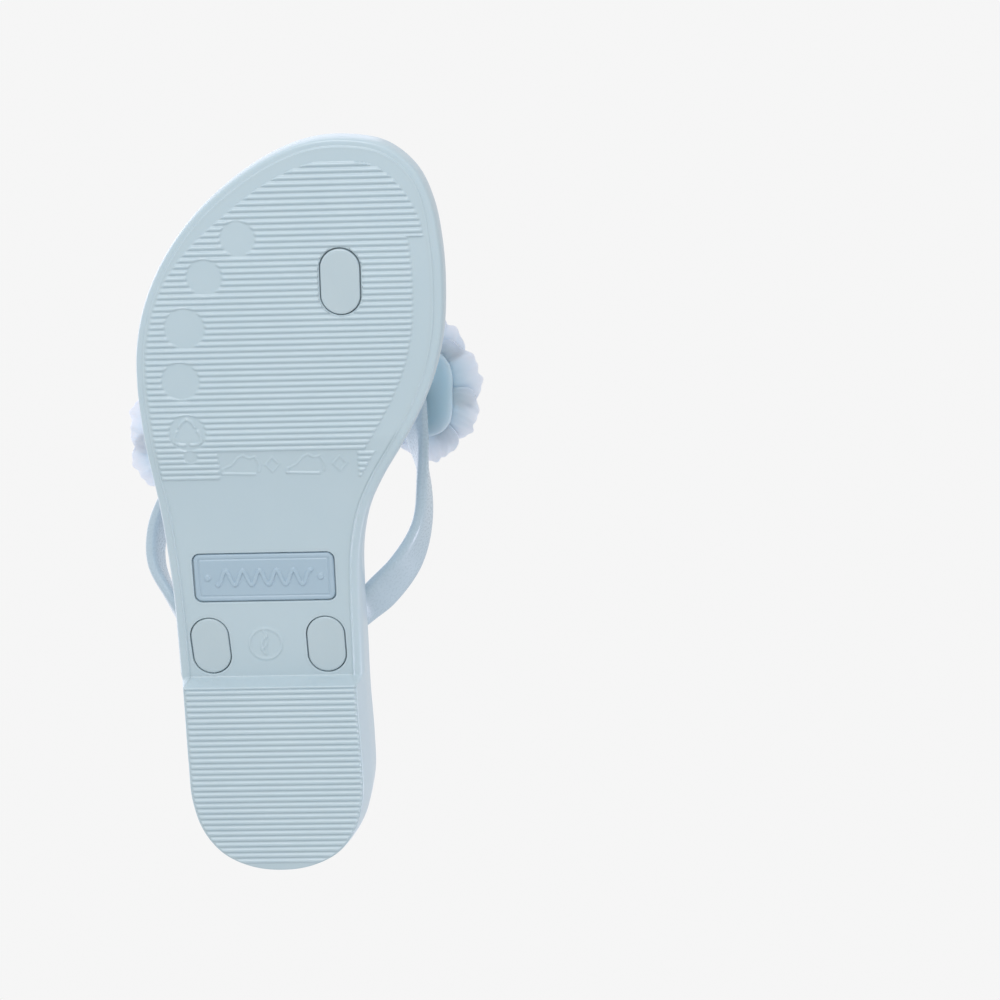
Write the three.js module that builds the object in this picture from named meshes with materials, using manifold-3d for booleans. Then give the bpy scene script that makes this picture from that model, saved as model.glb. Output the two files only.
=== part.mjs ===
// Child's flip flop for the right foot: moulded sole, footbed pad, badge, Y strap and two flowers.
// Units are millimetres. +Y runs to the toe, +Z is up, +X is the outer side of the foot.
import * as THREE from 'three';
import Module from 'manifold-3d';

const wasm = await Module();
wasm.setup();

// ---- driving dimensions -------------------------------------------------------------------
const SOLE_LENGTH = 191.4;
const FOREFOOT_WIDTH = 77;
const HEEL_WIDTH = 48;
const FOREFOOT_HEIGHT = 9;
const HEEL_HEIGHT = 20;
const ARCH_RISE = 4.4;
const K = SOLE_LENGTH / 191.4;
const WIDE = FOREFOOT_WIDTH / 77;
const HEEL_FRONT_Y = -43.4 * K;
const GAP = 0.3;

const TREAD_PITCH = 1.49;
const TREAD_ROWS = 49;
const TREAD_CORNER_ROWS = 5;
const CORNER_X = { inner: -17.2, outer: 17.5 };
const TREAD_TOP_Y = 90.3 * K;
const HEEL_PITCH = 1.566;
const GROOVE_DEPTH = 0.55;
const GROOVE_WIDTH = 0.8;

const PAD_INSET = 3;
const PAD_THICKNESS = 1.6;

const TOE_PLUG_LENGTH = 16;
const REAR_PLUG_LENGTH = 14.7;
const PLUG_WIDTH = 9.5;
const PLUG_THICKNESS = 2.8;
const BAND_WIDTH = 11.5;
const BAND_THICKNESS = 3.3;
const POST_RADIUS = 3.1;

const BADGE_LENGTH = (35.6 / 48) * HEEL_WIDTH;
const BADGE_WIDTH = 12.6;
const BADGE_THICKNESS = 1.2;
const BADGE_CORNER = 1.8;

const FLOWER_RADIUS = 20;
// How far each outer petal reaches, as a share of the flower's radius.
const OUTER_REACH = [1, 1, 0.99, 0.94, 0.96, 1.07, 1];
const PETAL_THICKNESS = 1.1;
const STEM_RADIUS = 1.5;
const SEAT_RADIUS = 5.6;
const SEAT_THICKNESS = 4.6;

// ---- small helpers --------------------------------------------------------------------------
const clamp01 = (v) => Math.min(1, Math.max(0, v));
const smooth = (a, b, v) => {
  const t = clamp01((v - a) / (b - a));
  return t * t * (3 - 2 * t);
};
const mix = (a, b, t) => a + (b - a) * t;

function solid(positions, triangles) {
  const index = new Map();
  const verts = [];
  const remap = positions.map((p) => {
    const key = p.map((c) => c.toFixed(4)).join(',');
    if (!index.has(key)) {
      index.set(key, verts.length / 3);
      verts.push(p[0], p[1], p[2]);
    }
    return index.get(key);
  });
  const tris = [];
  for (const [a, b, c] of triangles) {
    const t = [remap[a], remap[b], remap[c]];
    if (t[0] !== t[1] && t[1] !== t[2] && t[2] !== t[0]) tris.push(...t);
  }
  const mesh = new wasm.Mesh({
    numProp: 3,
    vertProperties: new Float32Array(verts),
    triVerts: new Uint32Array(tris),
  });
  return new wasm.Manifold(mesh);
}

function fromGeometry(geometry, matrix) {
  const g = matrix ? geometry.clone().applyMatrix4(matrix) : geometry;
  const pos = g.getAttribute('position');
  const positions = [];
  for (let i = 0; i < pos.count; i += 1) positions.push([pos.getX(i), pos.getY(i), pos.getZ(i)]);
  const idx = g.index ? Array.from(g.index.array) : positions.map((_, i) => i);
  const triangles = [];
  for (let i = 0; i < idx.length; i += 3) triangles.push([idx[i], idx[i + 1], idx[i + 2]]);
  return solid(positions, triangles);
}

function toGeometry(manifold) {
  const m = manifold.getMesh();
  const g = new THREE.BufferGeometry();
  const xyz = new Float32Array(m.numVert * 3);
  for (let i = 0; i < m.numVert; i += 1) {
    for (let k = 0; k < 3; k += 1) xyz[i * 3 + k] = m.vertProperties[i * m.numProp + k];
  }
  g.setAttribute('position', new THREE.BufferAttribute(xyz, 3));
  g.setIndex(Array.from(m.triVerts));
  g.computeVertexNormals();
  return g;
}

// A closed body from loops with equal point counts, each a list of [x, y, z].
// The loops run from the toe tip down the outer side to the heel tip and back up the inner side.
function loftLoops(loops, bottomZ, topZ, columns) {
  const n = loops[0].length;
  const half = n / 2;
  const positions = loops.flat();
  const triangles = [];
  for (let k = 0; k < loops.length - 1; k += 1) {
    for (let i = 0; i < n; i += 1) {
      const a = k * n + i;
      const b = k * n + ((i + 1) % n);
      const c = b + n;
      const d = a + n;
      triangles.push([a, c, b], [a, d, c]);
    }
  }
  const cap = (loop, heightAt, up) => {
    const row = (i) => {
      if (i === 0 || i === half) return Array(columns + 1).fill(loop[i]);
      const p = loop[i];
      const q = loop[n - i];
      return Array.from({ length: columns + 1 }, (_, c) => {
        if (c === 0) return p;
        if (c === columns) return q;
        const x = mix(p[0], q[0], c / columns);
        const y = mix(p[1], q[1], c / columns);
        return [x, y, heightAt(x, y)];
      });
    };
    for (let i = 0; i < half; i += 1) {
      const r0 = row(i);
      const r1 = row(i + 1);
      for (let c = 0; c < columns; c += 1) {
        const s = positions.length;
        positions.push(r0[c], r0[c + 1], r1[c + 1], r1[c]);
        if (up) triangles.push([s, s + 1, s + 2], [s, s + 2, s + 3]);
        else triangles.push([s, s + 2, s + 1], [s, s + 3, s + 2]);
      }
    }
  };
  cap(loops[0], bottomZ, false);
  cap(loops[loops.length - 1], topZ, true);
  return solid(positions, triangles);
}

// A straight-sided body: a closed 2-D outline between two heights.
function prism(points, z0, z1, matrix) {
  const shape = new THREE.Shape(points.map((p) => new THREE.Vector2(p[0], p[1])));
  const g = new THREE.ExtrudeGeometry(shape, { depth: z1 - z0, bevelEnabled: false });
  g.translate(0, 0, z0);
  return fromGeometry(g, matrix);
}

// Rounded oblong, long side along Y.
function stadium(width, length, segments = 10) {
  const r = width / 2;
  const reach = length / 2 - r;
  const pts = [];
  for (let i = 0; i <= segments; i += 1) {
    const a = Math.PI * (i / segments);
    pts.push([r * Math.cos(a), reach + r * Math.sin(a)]);
  }
  for (let i = 0; i <= segments; i += 1) {
    const a = Math.PI * (1 + i / segments);
    pts.push([r * Math.cos(a), -reach + r * Math.sin(a)]);
  }
  return pts;
}

function roundedRectangle(width, height, radius, segments = 4) {
  const pts = [];
  const corners = [[1, 1, 0], [-1, 1, 1], [-1, -1, 2], [1, -1, 3]];
  for (const [sx, sy, quarter] of corners) {
    for (let i = 0; i <= segments; i += 1) {
      const a = (Math.PI / 2) * (quarter + i / segments);
      pts.push([
        sx * (width / 2 - radius) + radius * Math.cos(a),
        sy * (height / 2 - radius) + radius * Math.sin(a),
      ]);
    }
  }
  return pts;
}

// Turned body about a local +Z axis, from a profile of [radius, height] listed from bottom to top.
function turned(profile, matrix, segments = 24) {
  const g = new THREE.LatheGeometry(profile.map((p) => new THREE.Vector2(p[0], p[1])), segments);
  g.rotateX(Math.PI / 2);
  return fromGeometry(g, matrix);
}

// Sweep a flattened round section along a curve; stations are [x, y, z, nx, ny, nz, width, thickness].
// n is the direction the outer face looks in.
function sweep(stations, steps, grow = 0, points = 12) {
  const at = new THREE.CatmullRomCurve3(stations.map((s) => new THREE.Vector3(s[0], s[1], s[2])));
  const face = new THREE.CatmullRomCurve3(stations.map((s) => new THREE.Vector3(s[3], s[4], s[5])));
  const size = new THREE.CatmullRomCurve3(stations.map((s) => new THREE.Vector3(s[6], s[7], 0)));
  const positions = [];
  const triangles = [];
  for (let i = 0; i <= steps; i += 1) {
    const u = i / steps;
    const p = at.getPoint(u);
    const t = at.getTangent(u);
    const n = face.getPoint(u);
    n.addScaledVector(t, -n.dot(t)).normalize();
    const w = new THREE.Vector3().crossVectors(n, t);
    const s = size.getPoint(u);
    for (let k = 0; k < points; k += 1) {
      const a = (2 * Math.PI * k) / points;
      const c = Math.cos(a);
      const d = Math.sin(a);
      const along = Math.sign(c) * Math.abs(c) ** 0.55 * (s.x / 2 + grow);
      const across = Math.sign(d) * Math.abs(d) ** 0.75 * (s.y / 2 + grow);
      const q = p.clone().addScaledVector(w, along).addScaledVector(n, across);
      positions.push([q.x, q.y, q.z]);
    }
  }
  for (let i = 0; i < steps; i += 1) {
    for (let k = 0; k < points; k += 1) {
      const a = i * points + k;
      const b = i * points + ((k + 1) % points);
      triangles.push([a, b, b + points], [a, b + points, a + points]);
    }
  }
  for (let k = 1; k < points - 1; k += 1) {
    const e = steps * points;
    triangles.push([0, k + 1, k], [e, e + k, e + k + 1]);
  }
  return solid(positions, triangles);
}

// ---- the sole's outline and heights ----------------------------------------------------------
// Outline of the widest edge, clockwise from the toe tip seen from above: outer side, heel, inner side.
const OUTLINE = [
  [-17.5, 95], [-8, 94.2], [2.6, 90], [12.8, 83.2], [21.4, 75.2], [28.4, 65.7], [33.3, 55.5], [35.9, 45.5],
  [36.6, 35.5], [36.1, 25], [35.2, 15], [34, 4], [33, -8], [32.3, -20], [32, -35], [32, -50],
  [32, -65], [31.7, -75], [29.2, -84.2], [24, -91.2], [16.5, -95.2],
  [8, -96.4], [-0.4, -95.2], [-8, -91.2], [-13.2, -84.2], [-15.7, -75], [-16, -65], [-15.6, -50],
  [-15.8, -35], [-16, -20], [-16.8, -8], [-19.2, 2], [-23, 10], [-28.3, 18.7], [-33, 27],
  [-36.9, 36], [-39.4, 46], [-40.3, 58], [-39.9, 69], [-38.2, 79], [-34.6, 87], [-27.5, 93],
];
const HEEL_TIP = OUTLINE.findIndex((p) => p[1] === -96.4);
const LOOP_POINTS = 104;
const HEEL_CENTRE_X = 8;

function scaleOutline([x, y]) {
  const front = smooth(-30, 25, y);
  const wide = mix(HEEL_WIDTH / 48, WIDE, front);
  const centre = mix(HEEL_CENTRE_X, -2, front);
  return new THREE.Vector3(centre + (x - centre) * wide, y * K, 0);
}

const rim = (() => {
  const all = OUTLINE.map(scaleOutline);
  const curve = new THREE.CatmullRomCurve3(all, true, 'centripetal');
  const heelAt = HEEL_TIP / all.length;
  const half = LOOP_POINTS / 2;
  const pts = [];
  for (let i = 0; i < LOOP_POINTS; i += 1) {
    const u = i <= half ? mix(0, heelAt, i / half) : mix(heelAt, 1, (i - half) / half);
    const p = curve.getPoint(u);
    const t = curve.getTangent(u);
    pts.push({ x: p.x, y: p.y, nx: -t.y, ny: t.x });
  }
  return pts;
})();

const topHeight = (y) => mix(FOREFOOT_HEIGHT, HEEL_HEIGHT, smooth(26.6 * K, -57 * K, y));
const ARCH_START_Y = 19 * K;
const archHeight = (y) => ARCH_RISE * (1 - Math.exp(-Math.max(0, ARCH_START_Y - y) / (14 * K)));
const inTread = (y) => (y > 0 ? 1 : 0);
const inHeel = (y) => 1 - smooth(HEEL_FRONT_Y - 1, HEEL_FRONT_Y + 6, y);
const inArch = (y) => (1 - smooth(4 * K, 17 * K, y)) * (1 - inHeel(y));

// One loop of the sole: how far in from the rim, and how high, as functions of y.
const loop = (inset, height) => rim.map((r) => {
  const d = inset(r.y);
  const x = r.x - r.nx * d;
  const y = r.y - r.ny * d;
  return [x, y, height(r.y)];
});

const zones = (fore, arch, heel) => (y) => mix(mix(fore, arch, inArch(y)), heel, inHeel(y));

function spanAt(points, y) {
  const xs = [];
  for (let i = 0; i < points.length; i += 1) {
    const a = points[i];
    const b = points[(i + 1) % points.length];
    if ((a[1] - y) * (b[1] - y) < 0) xs.push(mix(a[0], b[0], (y - a[1]) / (b[1] - a[1])));
  }
  return xs.length < 2 ? null : [Math.min(...xs), Math.max(...xs)];
}

// ---- the strap's ends in the sole --------------------------------------------------------------
const PLUGS = {
  toe: { x: -15.2 * WIDE, y: 60.4 * K, turn: -1, length: TOE_PLUG_LENGTH },
  medial: { x: HEEL_CENTRE_X - 0.3 * HEEL_WIDTH, y: -33.9 * K, turn: 1.5, length: REAR_PLUG_LENGTH },
  lateral: { x: HEEL_CENTRE_X + 0.317 * HEEL_WIDTH, y: -33.9 * K, turn: 3.5, length: REAR_PLUG_LENGTH },
};
PLUGS.medial.z = archHeight(PLUGS.medial.y) - 0.1;
PLUGS.lateral.z = archHeight(PLUGS.lateral.y) - 0.1;
PLUGS.toe.z = 0.05;

const plugMatrix = (p) => new THREE.Matrix4()
  .makeRotationZ(THREE.MathUtils.degToRad(-p.turn))
  .setPosition(p.x, p.y, 0);

const A = HEEL_CENTRE_X;
const H = HEEL_HEIGHT;
const armWidth = BAND_WIDTH;
const armThick = BAND_THICKNESS;
const NECK = [0.8 * BAND_WIDTH, BAND_THICKNESS];

// Stations given for the nominal sole, moved with its length and widths.
const tied = (stations) => stations.map(([x, y, ...rest]) => {
  const p = scaleOutline([x, y]);
  return [p.x, p.y, ...rest];
});

const MEDIAL_ARM = [
  [PLUGS.medial.x, PLUGS.medial.y, PLUGS.medial.z + 1.4, -1, 0, 0, ...NECK],
  [PLUGS.medial.x - 2.4, PLUGS.medial.y + 0.2, H - 9, -1, 0, -0.2, ...NECK],
  [PLUGS.medial.x - 5.2, PLUGS.medial.y + 0.9, H - 2.4, -0.9, -0.2, -0.4, ...NECK],
  ...tied([
    [A - 22.3, -30.7, H + 1.6, -0.6, -0.3, -0.75, 10.5, armThick],
    [A - 27.3, -26.6, H + 3.6, -0.45, -0.35, -0.8, armWidth, armThick],
    [A - 34, -19, H + 5.3, -0.6, -0.4, -0.65, armWidth, armThick],
    [A - 38.2, -9.5, H + 7.8, -0.9, -0.25, -0.3, armWidth, armThick],
    [A - 38.8, 1, H + 11.5, -1, 0, -0.03, armWidth, armThick],
    [A - 37, 13, H + 16.6, -0.85, 0, 0.5, armWidth, armThick],
    [A - 33.8, 25.3, H + 20.8, -0.42, 0.05, 0.9, armWidth, armThick],
    [A - 30, 34, H + 21.3, -0.25, 0.2, 0.95, armWidth, armThick],
    [A - 26, 42, H + 19, -0.1, 0.45, 0.9, armWidth, armThick],
    [A - 23.8, 50, H + 14, 0, 0.7, 0.7, 9, armThick + 0.4],
    [-15.3, 55.5, H + 9, 0, 0.9, 0.4, 6.5, armThick + 1],
  ]),
];
const LATERAL_ARM = [
  [PLUGS.lateral.x, PLUGS.lateral.y, PLUGS.lateral.z + 1.4, 1, 0, 0, ...NECK],
  [PLUGS.lateral.x + 2.4, PLUGS.lateral.y + 0.1, H - 9, 1, 0, -0.1, ...NECK],
  [PLUGS.lateral.x + 5, PLUGS.lateral.y + 0.6, H - 2.4, 0.95, -0.2, -0.2, ...NECK],
  ...tied([
    [A + 24.9, -31.9, H + 1.6, 0.8, -0.45, -0.4, 10.5, armThick],
    [A + 28.4, -26.5, H + 3.8, 0.75, -0.5, -0.3, armWidth, armThick],
    [A + 31.9, -18.4, H + 6.4, 0.92, -0.3, -0.05, armWidth, armThick],
    [A + 31.2, -9.5, H + 8.8, 1, 0, 0.15, armWidth, armThick],
    [A + 26, 0.5, H + 12.5, 0.93, 0.2, 0.35, armWidth, armThick],
    [A + 18, 11.4, H + 18, 0.5, 0.25, 0.84, armWidth, armThick],
    [A + 10, 22, H + 20.8, 0.3, 0.3, 0.92, armWidth, armThick],
    [A + 1, 32.5, H + 21.3, 0.1, 0.4, 0.92, armWidth, armThick],
    [A - 9.5, 43, H + 19, 0, 0.5, 0.88, armWidth, armThick],
    [A - 18.5, 51, H + 14, 0, 0.7, 0.7, 9, armThick + 0.4],
    [-15.6, 55.5, H + 9, 0, 0.9, 0.4, 6.5, armThick + 1],
  ]),
];
const POST = [
  [PLUGS.toe.x, PLUGS.toe.y, PLUGS.toe.z + 1.2, 0, 1, 0, 2.2 * POST_RADIUS, 2 * POST_RADIUS],
  [PLUGS.toe.x, PLUGS.toe.y, FOREFOOT_HEIGHT + 2, 0, 1, 0, 2 * POST_RADIUS, 2 * POST_RADIUS],
  [PLUGS.toe.x, PLUGS.toe.y - 0.6, FOREFOOT_HEIGHT + 10, 0, 1, 0, 2 * POST_RADIUS, 2 * POST_RADIUS],
  [PLUGS.toe.x, PLUGS.toe.y - 3, H + 6, 0, 1, 0.3, 2.3 * POST_RADIUS, 1.9 * POST_RADIUS],
  [PLUGS.toe.x - 0.1, PLUGS.toe.y - 7.5, H + 12.5, 0, 0.9, 0.5, 2.6 * POST_RADIUS, 1.4 * POST_RADIUS],
];

// Point on the line between an arm's stations, counted in stations from the arm's start.
function between(arm, station) {
  const first = Math.floor(station);
  const next = arm[first + 1];
  return arm[first].slice(0, 3).map((v, i) => mix(v, next[i], station - first));
}

// Where each flower sits on its arm: point on the arm's axis, and the direction it looks in.
const SEATS = {
  medial: { at: between(MEDIAL_ARM, 8.85), look: [-0.38, 0.02, 0.92], spin: 0.16 },
  lateral: { at: between(LATERAL_ARM, 8), look: [0.4, 0.12, 0.91], spin: 0.45 },
};

function seatMatrix(seat) {
  const z = new THREE.Vector3(...seat.look).normalize();
  const x = new THREE.Vector3(1, 0, 0).addScaledVector(z, -z.x).normalize();
  const y = new THREE.Vector3().crossVectors(z, x);
  const m = new THREE.Matrix4().makeBasis(x, y, z);
  const up = BAND_THICKNESS / 2 + 0.6;
  m.setPosition(new THREE.Vector3(...seat.at).addScaledVector(z, up));
  return m.multiply(new THREE.Matrix4().makeRotationZ(seat.spin));
}

// ---- outsole ---------------------------------------------------------------------------------
const PAD_Z = (y) => topHeight(y) - PAD_THICKNESS;

function buildSole() {
  const under = archHeight;
  const top = topHeight;
  const body = loftLoops([
    loop(zones(4.4, 3.6, 4), under),
    loop(zones(3.4, 3.2, 3.4), (y) => Math.max(0.05, under(y) + zones(0.15, -0.7, 0.1)(y))),
    loop(zones(2.2, 2.2, 2.8), (y) => Math.max(0.1, under(y) + zones(0.6, -0.8, 0.4)(y))),
    loop(zones(1.1, 1.1, 2.2), (y) => Math.max(0.4, under(y) + zones(1.5, -0.3, 0.8)(y))),
    loop(zones(0.3, 0.35, 0.9), (y) => under(y) + zones(2.8, 0.9, 1.9)(y)),
    loop(zones(0, 0, 0.25), (y) => under(y) + zones(4.2, 2.6, 3.6)(y)),
    loop(() => 0, (y) => top(y) - 1.4),
    loop(() => 0.4, (y) => top(y) - 0.4),
    loop(() => 1.3, top),
  ], (x, y) => under(y), (x, y) => top(y), 2);

  // Heel block: the low tread block behind the arch, with a leaning front face.
  const front = HEEL_FRONT_Y;
  const block = loftLoops([
    loop(() => 1.9, () => 0),
    loop(() => 1.25, () => 0.5),
    loop(() => 0.3, () => ARCH_RISE + 2.4),
    loop(() => 0.6, () => ARCH_RISE + 3.4),
  ], () => 0, () => ARCH_RISE + 3.4, 2);
  const side = [
    [-SOLE_LENGTH, -1], [front - 0.4, -1], [front, 0.4], [front + 0.1, 1.6],
    [front + 0.4, ARCH_RISE - 1], [front + 1.4, ARCH_RISE + 0.4], [front + 1.4, 30], [-SOLE_LENGTH, 30],
  ];
  const cutter = prism(side, -60, 60, new THREE.Matrix4().makeBasis(
    new THREE.Vector3(0, 1, 0), new THREE.Vector3(0, 0, 1), new THREE.Vector3(1, 0, 0)));
  let sole = body.add(block.intersect(cutter));

  // Seat for the footbed pad.
  const seat = loftLoops([
    loop(() => PAD_INSET, PAD_Z),
    loop(() => PAD_INSET, (y) => top(y) + 4),
  ], (x, y) => PAD_Z(y), (x, y) => top(y) + 4, 2);
  sole = sole.subtract(seat);

  // Badge seat, plug seats and the passages for the strap.
  const badge = badgeMatrix();
  sole = sole.subtract(prism(
    roundedRectangle(BADGE_LENGTH + 2 * GAP, BADGE_WIDTH + 2 * GAP, BADGE_CORNER + GAP),
    -4, BADGE_THICKNESS + GAP, badge));
  for (const p of Object.values(PLUGS)) {
    sole = sole.subtract(prism(
      stadium(PLUG_WIDTH + 2 * GAP, p.length + 2 * GAP), -2, p.z + PLUG_THICKNESS + GAP, plugMatrix(p)));
  }
  for (const path of [MEDIAL_ARM, LATERAL_ARM, POST]) sole = sole.subtract(sweep(path, 40, GAP));
  return sole.subtract(treadGrooves());
}

function badgeMatrix() {
  const y = -15.6 * K;
  const slope = Math.atan2(archHeight(y - 5) - archHeight(y + 5), 10);
  const m = new THREE.Matrix4().makeRotationX(-slope);
  m.setPosition(HEEL_CENTRE_X + 0.4, y, archHeight(y));
  return m;
}

const DISCS = [[9.1, 71.5, 4.3], [17.8, 62.2, 4.4], [23.5, 49.7, 5], [25.4, 36.5, 4.7], [24.6, 23.3, 4.6]];

function treadGrooves() {
  const positions = [];
  const triangles = [];
  const cut = (x0, x1, y) => {
    if (x1 - x0 < 0.8) return;
    const s = positions.length;
    const y0 = y - GROOVE_WIDTH / 2;
    const y1 = y + GROOVE_WIDTH / 2;
    for (const z of [-1, archHeight(y) * inTread(y) + GROOVE_DEPTH]) {
      positions.push([x0, y0, z], [x1, y0, z], [x1, y1, z], [x0, y1, z]);
    }
    const faces = [[0, 2, 1], [0, 3, 2], [4, 5, 6], [4, 6, 7], [0, 1, 5], [0, 5, 4],
      [1, 2, 6], [1, 6, 5], [2, 3, 7], [2, 7, 6], [3, 0, 4], [3, 4, 7]];
    for (const f of faces) triangles.push(f.map((i) => s + i));
  };
  // Cut the line x0..x1 at y, leaving out every disc it meets.
  const cutAround = (x0, x1, y, holes) => {
    const hit = holes.find(([cx, cy, r]) => Math.abs(y - cy) < r && cx + r > x0 && cx - r < x1);
    if (!hit) {
      cut(x0, x1, y);
      return;
    }
    const [cx, cy, r] = hit;
    const w = Math.sqrt(r * r - (y - cy) ** 2) + 0.2;
    const rest = holes.filter((h) => h !== hit);
    cutAround(x0, cx - w, y, rest);
    cutAround(cx + w, x1, y, rest);
  };
  const discs = DISCS.map(([x, y, r]) => [-2 + (x + 2) * WIDE, y * K, r * Math.min(K, WIDE)]);
  const outer = loop(() => 3.9, () => 0);
  const outerSide = loop(() => 2.7, () => 0);
  const strip = loop(() => 7.8, () => 0);
  const corner = loop(() => 5.2, () => 0);
  for (let i = 0; i < TREAD_ROWS + TREAD_CORNER_ROWS; i += 1) {
    const y = TREAD_TOP_Y - (i + 0.5) * TREAD_PITCH * K;
    const full = spanAt(outer, y);
    if (full) {
      const high = mix(full[1], spanAt(outerSide, y)[1], smooth(86 * K, 66 * K, y));
      const low = y > 71 * K ? full[0] : spanAt(strip, y)[0];
      if (i < TREAD_ROWS) {
        cutAround(low, high, y, discs);
      } else {
        cutAround(CORNER_X.outer * WIDE, high, y, discs);
        cutAround(spanAt(corner, y)[0], CORNER_X.inner * WIDE, y, discs);
      }
    }
  }
  const heel = loop(() => 1.6, () => 0);
  const rows = Math.floor((93 * K + HEEL_FRONT_Y) / (HEEL_PITCH * K));
  for (let i = 0; i < rows; i += 1) {
    const y = HEEL_FRONT_Y - (1 + i * HEEL_PITCH) * K;
    const s = spanAt(heel, y);
    if (s) cut(s[0], s[1], y);
  }
  return solid(positions, triangles);
}

// ---- footbed pad -------------------------------------------------------------------------------
function buildFootbed() {
  const lift = 0.3;
  let pad = loftLoops([
    loop(() => PAD_INSET + GAP + 0.3, (y) => PAD_Z(y) + GAP),
    loop(() => PAD_INSET + GAP, (y) => PAD_Z(y) + GAP + 0.3),
    loop(() => PAD_INSET + GAP, (y) => topHeight(y) + lift - 0.6),
    loop(() => PAD_INSET + GAP + 0.6, (y) => topHeight(y) + lift),
  ], (x, y) => PAD_Z(y) + GAP, (x, y) => topHeight(y) + lift, 2);
  for (const path of [MEDIAL_ARM, LATERAL_ARM, POST]) pad = pad.subtract(sweep(path, 40, 1.6 * GAP));
  return pad;
}

// ---- badge ---------------------------------------------------------------------------------------
function buildBadge() {
  const m = badgeMatrix();
  const inset = (by) => roundedRectangle(
    BADGE_LENGTH - 2 * by, BADGE_WIDTH - 2 * by, BADGE_CORNER - 0.6 * by);
  const plate = prism(inset(0), 0.35, BADGE_THICKNESS, m);
  const groove = prism(inset(1.2), 0.1, 0.5, m);
  const island = prism(inset(1.7), 0, 0.6, m);
  return plate.subtract(groove.subtract(island));
}

// ---- strap ---------------------------------------------------------------------------------------
function buildStrap() {
  let strap = sweep(MEDIAL_ARM, 52).add(sweep(LATERAL_ARM, 52)).add(sweep(POST, 14));
  for (const p of Object.values(PLUGS)) {
    const m = plugMatrix(p);
    const chamfer = 0.5;
    strap = strap.add(prism(stadium(PLUG_WIDTH, p.length), p.z + chamfer, p.z + PLUG_THICKNESS, m));
    strap = strap.add(prism(
      stadium(PLUG_WIDTH - 2 * chamfer, p.length - 2 * chamfer), p.z, p.z + chamfer + 0.2, m));
  }
  for (const seat of Object.values(SEATS)) {
    const m = seatMatrix(seat);
    strap = strap.add(turned([
      [0, -SEAT_THICKNESS], [SEAT_RADIUS - 0.6, -SEAT_THICKNESS], [SEAT_RADIUS, -SEAT_THICKNESS + 0.8],
      [SEAT_RADIUS, -0.4], [SEAT_RADIUS - 0.4, 0], [0, 0],
    ], m));
    strap = strap.subtract(turned([
      [0, -SEAT_THICKNESS - 2], [STEM_RADIUS + 1.3 + GAP, -SEAT_THICKNESS - 2],
      [STEM_RADIUS + 1.3 + GAP, -SEAT_THICKNESS + 1.8], [STEM_RADIUS + GAP, -SEAT_THICKNESS + 1.8],
      [STEM_RADIUS + GAP, 1], [0, 1],
    ], m));
  }
  return strap;
}

// ---- flowers -------------------------------------------------------------------------------------
// A ring of petals: lobed edge, cupped up, with a rippled border and a hole for the stem.
function petalRing({ radius, petals, reach, base, cup, ruffle, turn, notch, around }, matrix) {
  const across = 4;
  const shares = reach ?? Array(petals).fill(1);
  const inner = STEM_RADIUS + GAP;
  const edge = (a) => {
    const at = (petals * (a - turn)) / (2 * Math.PI) + petals;
    const here = Math.floor(at);
    const share = mix(shares[here % petals], shares[(here + 1) % petals], smooth(0.3, 0.7, at - here));
    const lobe = Math.abs(Math.cos((petals * (a - turn)) / 2)) ** 0.55;
    return radius * share * (1 - notch + notch * lobe);
  };
  const lift = (a, s) => {
    const wave = Math.sin(petals * 2 * (a - turn)) + 0.5 * Math.sin(petals * 3 * (a - turn) + 1);
    return cup * s * s + ruffle * wave * s ** 3;
  };
  const positions = [];
  const triangles = [];
  for (const side of [0, 1]) {
    for (let j = 0; j <= across; j += 1) {
      for (let i = 0; i < around; i += 1) {
        const a = (2 * Math.PI * i) / around;
        const rim = edge(a);
        const r = mix(inner, rim, j / across);
        const s = r / radius;
        const thick = PETAL_THICKNESS * mix(1, 0.7, s);
        positions.push([r * Math.cos(a), r * Math.sin(a), base + lift(a, s) + side * thick]);
      }
    }
  }
  const layer = (across + 1) * around;
  for (let j = 0; j < across; j += 1) {
    for (let i = 0; i < around; i += 1) {
      const n = (i + 1) % around;
      const [a, b, c, d] = [j * around + i, j * around + n, (j + 1) * around + n, (j + 1) * around + i];
      triangles.push([a, b, c], [a, c, d]);
      triangles.push([layer + a, layer + c, layer + b], [layer + a, layer + d, layer + c]);
    }
  }
  for (let i = 0; i < around; i += 1) {
    const n = (i + 1) % around;
    const o = across * around;
    triangles.push([o + i, o + n, layer + o + n], [o + i, layer + o + n, layer + o + i]);
    triangles.push([i, layer + n, n], [i, layer + i, layer + n]);
  }
  const v = new THREE.Vector3();
  const placed = positions.map((p) => {
    v.set(...p).applyMatrix4(matrix);
    return [v.x, v.y, v.z];
  });
  return solid(placed, triangles);
}

const R = FLOWER_RADIUS;
const T = PETAL_THICKNESS;
const RINGS = {
  outer: {
    radius: R, petals: 7, reach: OUTER_REACH, around: 96, turn: 0, notch: 0.15,
    base: GAP, cup: 3.4, ruffle: 0.75,
  },
  middle: {
    radius: 0.76 * R, petals: 6, around: 72, turn: 0.5, notch: 0.17,
    base: 2 * GAP + T + 0.5, cup: 5.4, ruffle: 0.6,
  },
  inner: {
    radius: 0.5 * R, petals: 5, around: 60, turn: 0, notch: 0.24,
    base: 3 * GAP + 2 * T + 1.2, cup: 6, ruffle: 0.35,
  },
};

function buildPin(matrix) {
  const hub = 4 * GAP + 3 * T + 1.5;
  const snap = -SEAT_THICKNESS + 1.8 - GAP;
  return turned([
    [0, snap - 1.3], [STEM_RADIUS + 0.3, snap - 1.3], [STEM_RADIUS + 1, snap - 0.6],
    [STEM_RADIUS + 1, snap], [STEM_RADIUS, snap], [STEM_RADIUS, hub], [2.2, hub + 0.1],
    [3.2, hub + 0.9], [3.6, hub + 1.7], [3.3, hub + 2.6], [2.4, hub + 3.3], [1.2, hub + 3.7],
    [0, hub + 3.8],
  ], matrix);
}

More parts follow.
